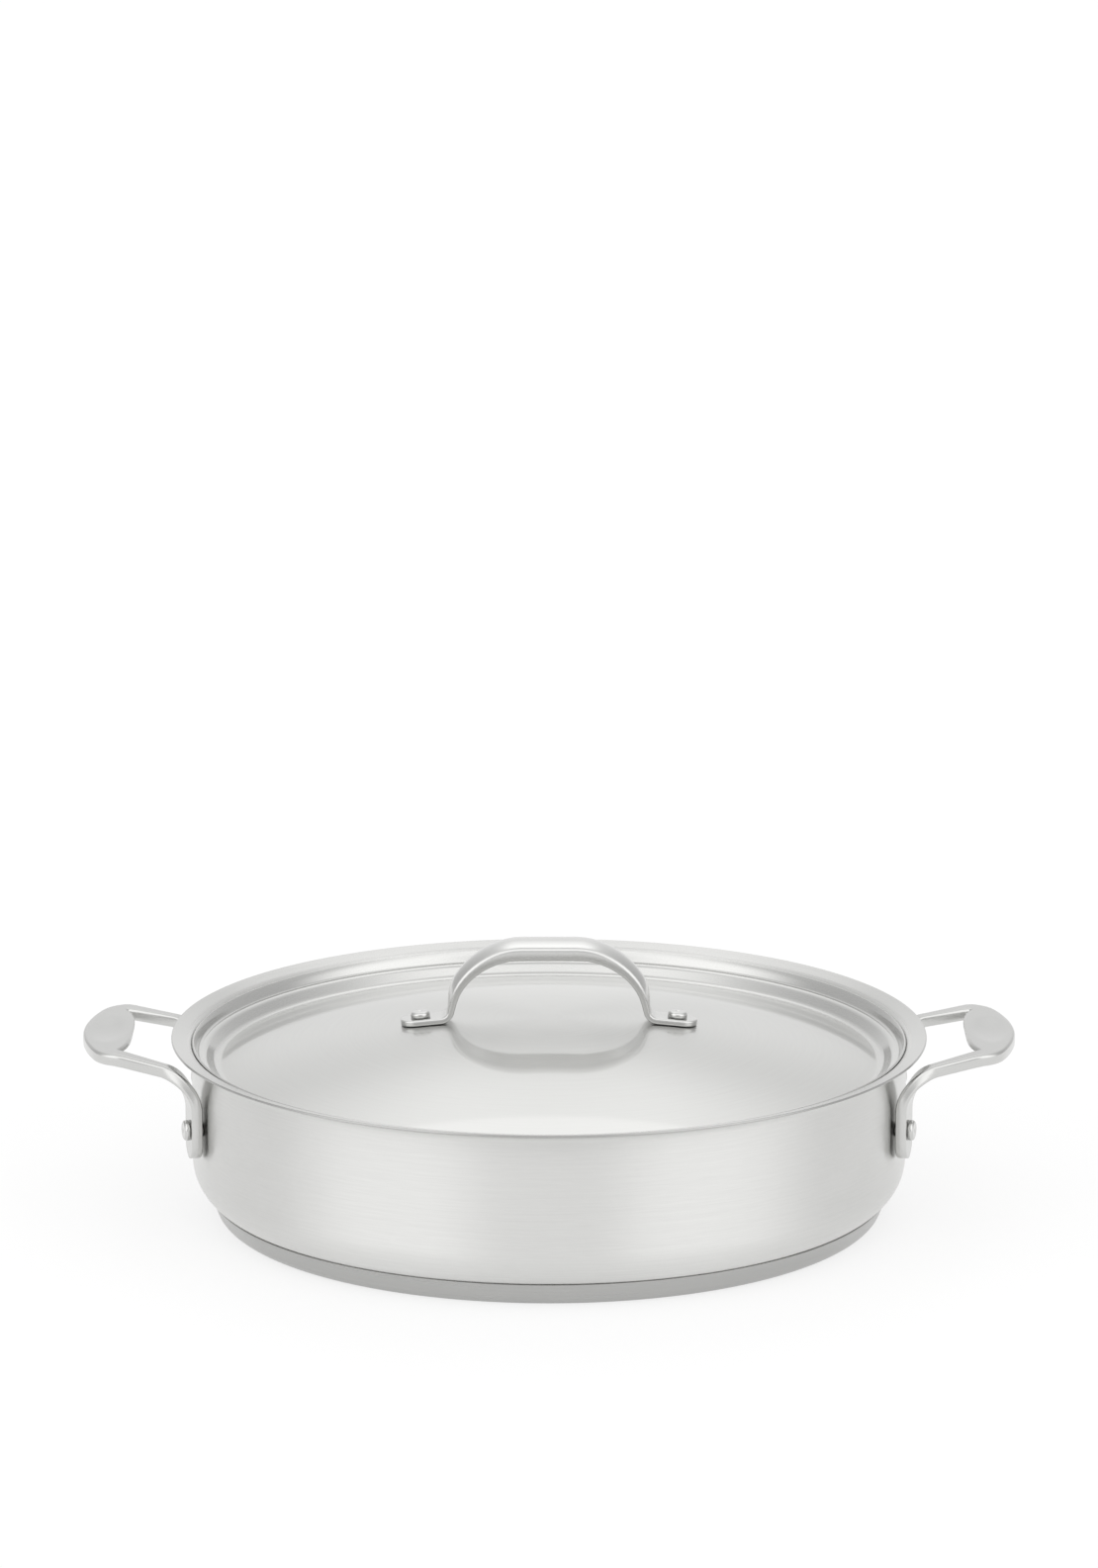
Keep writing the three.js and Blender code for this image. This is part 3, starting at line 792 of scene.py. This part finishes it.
class SAUTEUSE_OT_lid(Operator):
    """Pressed lid: dome, step, ledge and the lip that rests on the rim"""

    bl_idname = "sauteuse.lid"
    bl_label = "Lid"

    def execute(self, context):
        settings = context.scene.sauteuse
        pan, lid, at = settings.pan, settings.lid, Layout(settings)
        dome = [at.step_foot.x * i / DOME_STEPS for i in range(DOME_STEPS)]
        lip_radius = pan.rim_bend + settings.gap.seat + lid.sheet
        half = (lid.lip_turn - lid.lip_root) / 2
        reach = lip_radius / math.cos(half)
        middle = math.pi - (lid.lip_turn + lid.lip_root) / 2
        lip_corner = at.flare_centre + reach * Vector((math.cos(middle), math.sin(middle)))
        end = math.pi - lid.lip_turn
        lip_end = at.flare_centre + lip_radius * Vector((math.cos(end), math.sin(end)))
        bm = spun(
            [
                *((radius, at.dome_height(radius), 0) for radius in dome),
                (at.step_foot.x, at.step_foot.y, lid.step_fillet),
                (at.ledge_inner, at.ledge, lid.shoulder),
                (at.ledge_outer, at.ledge, lid.ledge_fillet),
                (lip_corner.x, lip_corner.y, LIP_EASE * lip_radius),
                (lip_end.x, lip_end.y, 0),
            ],
            ROUND_STEPS,
        )
        turn_to(bm, 1)
        spinning = partial(lid_spinning, at.step_foot.x)
        material = steel("Spun lid", settings.finish.lid, spinning)
        obj = piece(bm, "spun_lid", "lid", ["lid_shell"], material)
        sheet_metal(obj, lid.sheet, pan.rim_round)
        return {"FINISHED"}


class SAUTEUSE_OT_lid_handle(Operator):
    """Arched strap with a bulging outer face and two flat feet"""

    bl_idname = "sauteuse.lid_handle"
    bl_label = "Lid handle"

    def stations(self, settings):
        """From the top of the arch down one leg and out along its foot."""
        strap, at = settings.strap, Layout(settings)
        heel = Vector((strap.heel, at.foot_top(strap.heel)))
        rise = at.arch_top - heel.y
        toe_start = strap.toe - strap.foot_width / 2
        upper = rounded_line([
            (0, at.arch_top, 0),
            (heel.x - rise * math.tan(strap.lean), at.arch_top, strap.bend),
            (heel.x, heel.y, strap.foot_bend),
            (toe_start, at.foot_top(toe_start), 0),
        ])
        bars = []
        for point in upper:
            height = max(0.0, (point.z - heel.y) / rise)
            swell = soft_step(height / strap.blend)
            crown = (strap.leg_crown + (strap.crown - strap.leg_crown) * height) * swell
            width = strap.foot_width + (strap.width - strap.foot_width) * height
            thickness = strap.foot_thickness + (strap.thickness - strap.foot_thickness) * height**2
            bars.append((point, width, thickness, crown))
        for i in range(1, END_STEPS):
            turn = math.pi / 2 * i / END_STEPS
            x = toe_start + strap.foot_width / 2 * math.sin(turn)
            toe = Vector((x, 0, at.foot_top(x)))
            bars.append((toe, strap.foot_width * math.cos(turn), strap.foot_thickness, 0))
        across = Vector((0, -1, 0))
        made = []
        for i, (point, width, thickness, crown) in enumerate(bars):
            travel = bars[min(i + 1, len(bars) - 1)][0] - bars[max(i - 1, 0)][0]
            inward = Vector((0, 0, -1)) if i == 0 else travel.cross(across).normalized()
            middle = point + inward * thickness / 2
            edge = strap.edge * math.sqrt(thickness / strap.thickness)
            made.append((middle, across, bar_section(width, thickness, edge, crown)))
        return made

    def execute(self, context):
        settings = context.scene.sauteuse
        bm = loft(self.stations(settings))
        close_mirror(bm, 0)
        material = steel("Satin strap", settings.finish.strap, strap_satin)
        piece(bm, "satin_strap", "lid", ["lid_handle"], material)
        return {"FINISHED"}


class SAUTEUSE_OT_side_handles(Operator):
    """Cast loop handles: dished paddle, turned legs and riveted tabs"""

    bl_idname = "sauteuse.side_handles"
    bl_label = "Side handles"

    def stations(self, settings):
        """Half a handle on +X, from the middle of its paddle to the end of a tab."""
        loop, at = settings.loop, Layout(settings)
        height = Vector((0, 0, at.paddle_height))

        def heading(turn):
            return Vector((math.cos(turn), math.sin(turn), 0))

        def bar(width, thickness, thinned=0):
            points = bar_section(width, thickness, loop.edge)
            for point in points:
                if point.y > 0:
                    point.y *= 1 - thinned * (0.5 - point.x / width) ** 2
            return points

        turn_at = Vector((at.paddle_inner + loop.inner_bow, loop.turn, 0))
        tab_at = at.tab_radius * heading(loop.tab_azimuth)
        to_tab = tab_at - turn_at
        reach = loop.turn_radius + loop.leg_root / 2
        bearing = math.atan2(to_tab.y, to_tab.x) % (2 * math.pi)
        leg_heading = bearing + math.pi / 2 - math.acos(reach / to_tab.length)
        leg_across = leg_heading - math.pi / 2
        tab_across = loop.tab_azimuth + math.pi / 2
        leg_length = math.sqrt(to_tab.length_squared - reach**2)

        made = []
        for i in range(PADDLE_STEPS):
            out = i / PADDLE_STEPS
            inner = at.paddle_inner + (loop.inner_bow + loop.turn_radius) * out**4
            outer = at.paddle_inner + loop.depth - loop.outer_bow * out**2
            middle = Vector(((inner + outer) / 2, out * loop.turn, 0)) + height
            made.append((middle, heading(0), bar(outer - inner, loop.thickness, loop.thinned)))
        outer_slope = math.atan(2 * loop.outer_bow / loop.turn)
        outer_reach = (loop.depth - loop.outer_bow - loop.inner_bow) * math.cos(outer_slope)
        leg_reach = loop.turn_radius + loop.leg_root
        for i in range(TURN_STEPS):
            turn = leg_across * i / TURN_STEPS
            to_outer = outer_reach / math.cos(turn - outer_slope)
            to_leg = leg_reach / math.cos(leg_across - turn)
            corner = (to_outer**-CORNER_POWER + to_leg**-CORNER_POWER) ** (-1 / CORNER_POWER)
            across = heading(turn)
            middle = turn_at + across * (loop.turn_radius + corner) / 2 + height
            thinned = loop.thinned * (1 - (i / TURN_STEPS) ** 2)
            made.append((middle, across, bar(corner - loop.turn_radius, loop.thickness, thinned)))

        tab_end = loop.tab_bottom + loop.tab_width / 2
        side_view = rounded_line([
            (leg_length + loop.leg_ease, at.paddle_height, 0),
            (leg_length, at.paddle_height, loop.leg_ease),
            (0, at.paddle_height - leg_length * math.tan(loop.leg_slope), loop.leg_bend),
            (0, tab_end, 0),
        ])
        bend_end = loop.leg_bend * math.cos(loop.leg_slope)
        for point in side_view:
            if point.x >= leg_length:
                continue
            away = soft_step(point.x / bend_end)
            to_paddle = max(0.0, point.x - bend_end) / (leg_length - bend_end)
            leg_width = loop.leg_width + (loop.leg_root - loop.leg_width) * to_paddle
            width = loop.tab_width + (leg_width - loop.tab_width) * away
            thickness = loop.tab_thickness + (loop.thickness - loop.tab_thickness) * away
            across = heading(tab_across + (leg_across - tab_across) * away)
            middle = tab_at - heading(leg_heading) * point.x + Vector((0, 0, point.z))
            made.append((middle, across, bar(width, thickness)))
        for i in range(1, END_STEPS):
            turn = math.pi / 2 * i / END_STEPS
            drop = loop.tab_width / 2 * math.sin(turn)
            middle = tab_at + Vector((0, 0, tab_end - drop))
            width = loop.tab_width * math.cos(turn)
            made.append((middle, heading(tab_across), bar(width, loop.tab_thickness)))
        return made

    def press_dish(self, bm, settings):
        """Hollows the top of the paddle for the thumb."""
        loop, at = settings.loop, Layout(settings)
        middle = at.paddle_inner + loop.depth / 2
        for vert in bm.verts:
            place = Vector((
                (vert.co.x - middle) / (loop.dish_width / 2),
                vert.co.y / (loop.dish_length / 2),
            ))
            if vert.co.z > at.paddle_height and place.length < 1:
                vert.co.z -= loop.dish_depth * (1 - place.length_squared) ** DISH_FADE

    def execute(self, context):
        settings = context.scene.sauteuse
        material = steel("Satin casting", settings.finish.casting, casting_grain)
        for side, turn in (("right", 0), ("left", math.pi)):
            bm = loft(self.stations(settings))
            close_mirror(bm, 1)
            self.press_dish(bm, settings)
            bmesh.ops.rotate(bm, verts=bm.verts, matrix=Matrix.Rotation(turn, 3, "Z"))
            name = f"side_handle_{side}"
            piece(bm, f"cast_loop_{side}", "pan", [name], material)
        return {"FINISHED"}


def rivet(sizes, grip):
    """A rivet about the Z axis: its head stands on the XY plane and its tail lies below."""
    bottom = -grip - sizes.tail_height
    return spun(
        [
            (0, bottom, 0),
            (sizes.tail, bottom, TAIL_ROUND * sizes.tail_height),
            (sizes.tail, -grip, 0),
            (sizes.shank, -grip, 0),
            (sizes.shank, 0, 0),
            (sizes.head, 0, 0),
            (sizes.head, sizes.crown, HEAD_ROUND * sizes.crown),
            (sizes.dimple, sizes.crown, DIMPLE_ROUND * sizes.dimple),
            (0, sizes.crown - sizes.dimple_depth, 0),
        ],
        RIVET_STEPS,
    )


class SAUTEUSE_OT_rivets(Operator):
    """Rivets of the side handles and of the lid's handle"""

    bl_idname = "sauteuse.rivets"
    bl_label = "Rivets"

    def execute(self, context):
        settings = context.scene.sauteuse
        pan, lid, strap, loop = settings.pan, settings.lid, settings.strap, settings.loop
        gap, at = settings.gap, Layout(settings)
        material = steel("Polished rivet", settings.finish.rivet, rivet_polish)

        side_grip = gap.seat + loop.tab_thickness + gap.tab + pan.sheet + gap.curve
        seat = at.wall + gap.tab + loop.tab_thickness + gap.seat
        for side, turn in (("right", 0), ("left", math.pi)):
            for azimuth in (loop.tab_azimuth + turn, -loop.tab_azimuth + turn):
                bm = rivet(settings.side_rivet, side_grip)
                place = (
                    Matrix.Rotation(azimuth, 4, "Z")
                    @ Matrix.Translation((seat, 0, loop.rivet_height))
                    @ Matrix.Rotation(math.pi / 2, 4, "Y")
                )
                bmesh.ops.transform(bm, verts=bm.verts, matrix=place)
                end = "front" if math.sin(azimuth) < 0 else "rear"
                name = f"{side}_{end}"
                piece(bm, f"rivet_{name}", "pan", [f"side_rivet_{name}"], material)

        lid_grip = gap.seat + strap.foot_thickness + gap.foot + lid.sheet + gap.curve
        for name, sign in (("right", 1), ("left", -1)):
            bm = rivet(settings.lid_rivet, lid_grip)
            height = at.foot_top(strap.rivet_place) + gap.seat
            place = Matrix.Translation((sign * strap.rivet_place, 0, height)) @ Matrix.Rotation(
                sign * at.foot_tilt, 4, "Y"
            )
            bmesh.ops.transform(bm, verts=bm.verts, matrix=place)
            piece(bm, f"rivet_lid_{name}", "lid", [f"lid_rivet_{name}"], material)
        return {"FINISHED"}


class SAUTEUSE_OT_studio(Operator):
    """Camera, floor and soft light"""

    bl_idname = "sauteuse.studio"
    bl_label = "Studio"

    def camera(self, studio):
        """The photograph's view."""
        data = bpy.data.cameras.new("Camera")
        data.sensor_width = SENSOR_WIDTH
        data.lens = studio.lens
        camera = bpy.data.objects.new("Camera", data)
        camera.location = (
            0,
            -studio.distance * math.cos(studio.elevation),
            studio.aim_height + studio.distance * math.sin(studio.elevation),
        )
        camera.rotation_euler = (math.pi / 2 - studio.pitch, 0, 0)
        bpy.context.scene.collection.objects.link(camera)
        bpy.context.scene.camera = camera

    def floor(self, studio):
        """A pale disc that takes the pan's shadow."""
        bm = bmesh.new()
        bmesh.ops.create_circle(bm, cap_ends=True, segments=64, radius=FLOOR_RADIUS)
        mesh = bpy.data.meshes.new("floor")
        bm.to_mesh(mesh)
        bm.free()
        material = bpy.data.materials.new("Pale floor")
        graph = Graph(material)
        matt = graph.node("ShaderNodeBsdfDiffuse", sockets={"Color": (*studio.floor, 1)})
        white = graph.node("ShaderNodeEmission", sockets={"Color": (1, 1, 1, 1), "Strength": 1.0})
        white_share = sum(
            graph.node("ShaderNodeLightPath", output=ray) * part
            for ray, part in FLOOR_WHITE.items()
        )
        surface = graph.node("ShaderNodeMixShader", sockets={0: white_share, 1: matt, 2: white})
        graph.node("ShaderNodeOutputMaterial", sockets={"Surface": surface})
        mesh.materials.append(material)
        obj = bpy.data.objects.new("floor", mesh)
        bpy.context.scene.collection.objects.link(obj)

    def world(self, studio):
        """White light from all round, brighter and darker in a few directions."""
        world = bpy.data.worlds.new("Studio")
        bpy.context.scene.world = world
        graph = Graph(world)
        direction = graph.node("ShaderNodeTexCoord", output="Generated")

        def towards(aim, width):
            """1 in one direction of the room, fading to 0 at a width round it."""
            facing = graph.node(
                "ShaderNodeVectorMath",
                {"operation": "DOT_PRODUCT"},
                {0: direction, 1: Vector(aim).normalized()},
                output="Value",
            )
            return graph.ramp(facing, math.cos(math.radians(width)), 1.0)

        left, right = CAMERA_SIDES
        glow = (
            studio.top_glow * towards(*HIGH_FRONT)
            + studio.rear_glow * towards(*HIGH_REAR)
            + studio.side_glow * (towards(*left) + towards(*right))
        )
        left, right = REAR_CORNERS
        shade = (
            studio.corner_shade * (towards(*left) + towards(*right))
            + studio.front_shade * towards(*BEHIND_CAMERA)
            + studio.top_shade * towards(*OVERHEAD)
        )
        camera = graph.node("ShaderNodeLightPath", output="Is Camera Ray")
        strength = studio.room * (1 + (glow - shade) * (1 - camera))
        light = graph.node(
            "ShaderNodeBackground", sockets={"Color": (1, 1, 1, 1), "Strength": strength}
        )
        graph.node("ShaderNodeOutputWorld", sockets={"Surface": light})

    def softbox(self, studio):
        """A square lamp above and behind the pan."""
        data = bpy.data.lights.new("Top softbox", "AREA")
        data.shape = "SQUARE"
        data.size = SOFTBOX_SIZE
        data.energy = studio.top_lamp
        lamp = bpy.data.objects.new("Top softbox", data)
        lamp.location = SOFTBOX_PLACE
        aim = Vector(SOFTBOX_AIM) - Vector(SOFTBOX_PLACE)
        lamp.rotation_euler = aim.to_track_quat("-Z", "Y").to_euler()
        bpy.context.scene.collection.objects.link(lamp)

    def execute(self, context):
        studio = context.scene.sauteuse.studio
        self.camera(studio)
        self.floor(studio)
        self.world(studio)
        self.softbox(studio)
        context.scene.view_settings.view_transform = "Standard"
        return {"FINISHED"}


class SAUTEUSE_PT_panel(Panel):
    """Sizes, finishes and the steps that build the pan"""

    bl_idname = "SAUTEUSE_PT_panel"
    bl_label = "Covered Sauteuse"
    bl_space_type = "VIEW_3D"
    bl_region_type = "UI"
    bl_category = "Sauteuse"

    def draw(self, context):
        settings = context.scene.sauteuse
        for group in settings.bl_rna.properties:
            if group.type == "POINTER" and group.identifier != "rna_type":
                column = self.layout.column(heading=group.name)
                sizes = getattr(settings, group.identifier)
                for size in sizes.bl_rna.properties:
                    if size.identifier not in ("rna_type", "name"):
                        column.prop(sizes, size.identifier)
        for operator in OPERATORS:
            self.layout.operator(operator.bl_idname)


GROUPS = (
    PanSizes,
    LidSizes,
    StrapSizes,
    LoopSizes,
    SideRivetSizes,
    LidRivetSizes,
    GapSizes,
    FinishColours,
    StudioSettings,
    SauteuseSettings,
)
OPERATORS = (
    SAUTEUSE_OT_pan_body,
    SAUTEUSE_OT_base,
    SAUTEUSE_OT_lid,
    SAUTEUSE_OT_lid_handle,
    SAUTEUSE_OT_side_handles,
    SAUTEUSE_OT_rivets,
    SAUTEUSE_OT_studio,
)
CLASSES = (*GROUPS, *OPERATORS, SAUTEUSE_PT_panel)


def register():
    for cls in CLASSES:
        bpy.utils.register_class(cls)
    bpy.types.Scene.sauteuse = PointerProperty(type=SauteuseSettings)


def unregister():
    del bpy.types.Scene.sauteuse
    for cls in reversed(CLASSES):
        bpy.utils.unregister_class(cls)


def main():
    register()
    bpy.ops.sauteuse.pan_body()
    bpy.ops.sauteuse.base()
    bpy.ops.sauteuse.lid()
    bpy.ops.sauteuse.lid_handle()
    bpy.ops.sauteuse.side_handles()
    bpy.ops.sauteuse.rivets()
    bpy.ops.sauteuse.studio()


if __name__ == "__main__":
    main()
